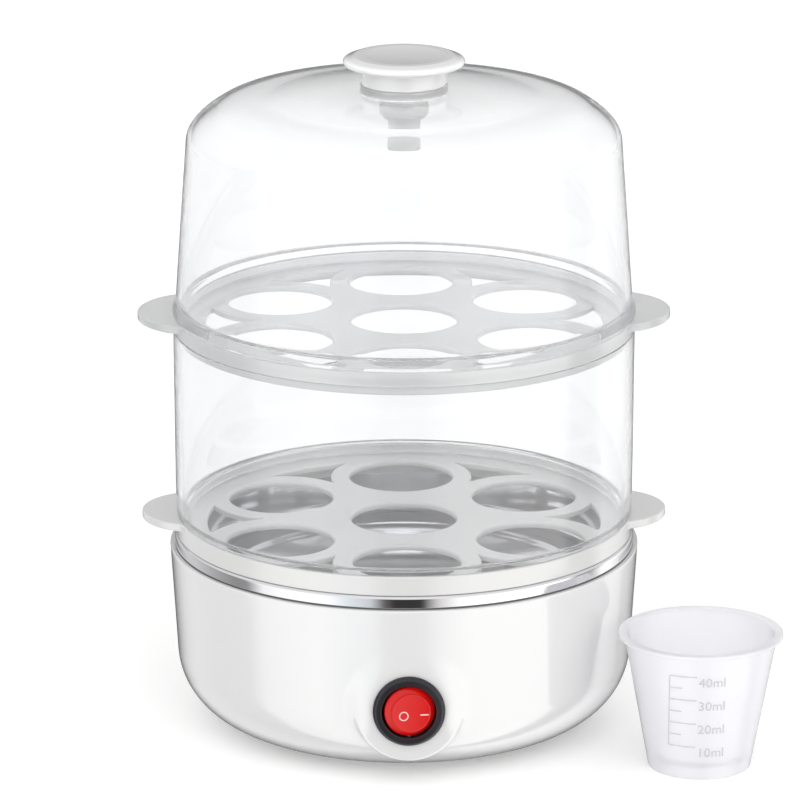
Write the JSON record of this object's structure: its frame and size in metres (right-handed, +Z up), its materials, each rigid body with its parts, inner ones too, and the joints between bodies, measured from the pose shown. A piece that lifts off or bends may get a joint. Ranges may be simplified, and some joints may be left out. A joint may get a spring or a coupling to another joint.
{
  "type": "egg boiler",
  "caption": "Round electric egg cooker with two pierced egg trays, a clear ring, a clear domed lid with a flat knob, a rocker switch and a water measure.",
  "frame": {"origin": "on the cooker's axis, at the level of the worktop under its feet", "axes": "+Z up along the axis, the switch faces -Y, the trays' ears lie along X and the cord inlet faces +Y"},
  "size_m": [0.211, 0.1603, 0.227],
  "materials": {
    "white_shell": "glossy moulded",
    "white_cover": "satin moulded",
    "rubber": "soft",
    "silicone": "soft",
    "polished_steel": "polished stainless",
    "steel": "plated",
    "aluminium": "cast",
    "brass": "bare",
    "ceramic": "glazed ceramic",
    "black_plastic": "glossy moulded",
    "red_lens": "translucent",
    "clear_plastic": "clear moulded",
    "frosted_plastic": "clear moulded, frosted",
    "tray_white": "milky moulded",
    "sleeving": "woven glass sleeve",
    "red_wire": "insulated",
    "blue_wire": "insulated",
    "green_wire": "insulated"
  },
  "bodies": {
    "base": {"base_housing": "white_shell", "bottom_cover": "white_cover", "cover_screws": "steel", "rubber_feet": "rubber", "heating_dish": "polished_steel", "dish_gasket": "silicone", "dish_brackets": "steel", "dish_screws": "steel", "heat_spreader": "aluminium", "heating_element": "steel", "element_insulators": "ceramic", "element_pins": "steel", "thermostat_cap": "aluminium", "thermostat_body": "ceramic", "thermostat_tabs": "brass", "thermostat_strap": "steel", "heater_screws": "steel", "thermal_fuse": "steel", "fuse_sleeve": "sleeving", "fuse_clip": "steel", "earth_stud": "steel", "earth_lug": "brass", "earth_nuts": "steel", "cord_grommet": "rubber", "cord_clamp": "white_cover", "clamp_screws": "steel", "terminal_block": "ceramic", "terminal_screws": "brass", "block_screws": "steel", "switch_body": "black_plastic", "switch_pivot": "steel", "switch_lamp": "red_lens", "switch_contacts": "brass", "wire_boots": "silicone", "live_lead": "red_wire", "switched_lead": "red_wire", "thermostat_lead": "red_wire", "fuse_lead": "red_wire", "neutral_lead": "blue_wire", "lamp_lead": "blue_wire", "earth_lead": "green_wire"},
    "rocker": {"switch_rocker": "red_lens"},
    "lower_tray": {"lower_egg_tray": "tray_white"},
    "ring": {"middle_ring": "clear_plastic"},
    "upper_tray": {"upper_egg_tray": "frosted_plastic"},
    "lid": {"lid_dome": "clear_plastic", "lid_knob": "white_shell", "knob_bolt": "steel", "knob_washer": "white_cover", "knob_nut": "white_cover"},
    "measure": {"measuring_cup": "frosted_plastic", "piercing_needle": "steel"}
  },
  "joints": [
    {"name": "rocker_hinge", "type": "hinge", "parent": "base", "child": "rocker", "pos_m": [0, -0.07612, 0.0275], "axis": [0, 0, 1], "range_deg": [-18, 0]},
    {"name": "lower_tray_lift", "type": "slide", "parent": "base", "child": "lower_tray", "axis": [0, 0, 1], "range_m": [0, 0.05]},
    {"name": "ring_lift", "type": "slide", "parent": "lower_tray", "child": "ring", "axis": [0, 0, 1], "range_m": [0, 0.08]},
    {"name": "upper_tray_lift", "type": "slide", "parent": "ring", "child": "upper_tray", "axis": [0, 0, 1], "range_m": [0, 0.06]},
    {"name": "lid_lift", "type": "slide", "parent": "upper_tray", "child": "lid", "axis": [0, 0, 1], "range_m": [0, 0.12]},
    {"name": "measure_lift", "type": "slide", "parent": "base", "child": "measure", "axis": [0, 0, 1], "range_m": [0, 0.08]}
  ]
}
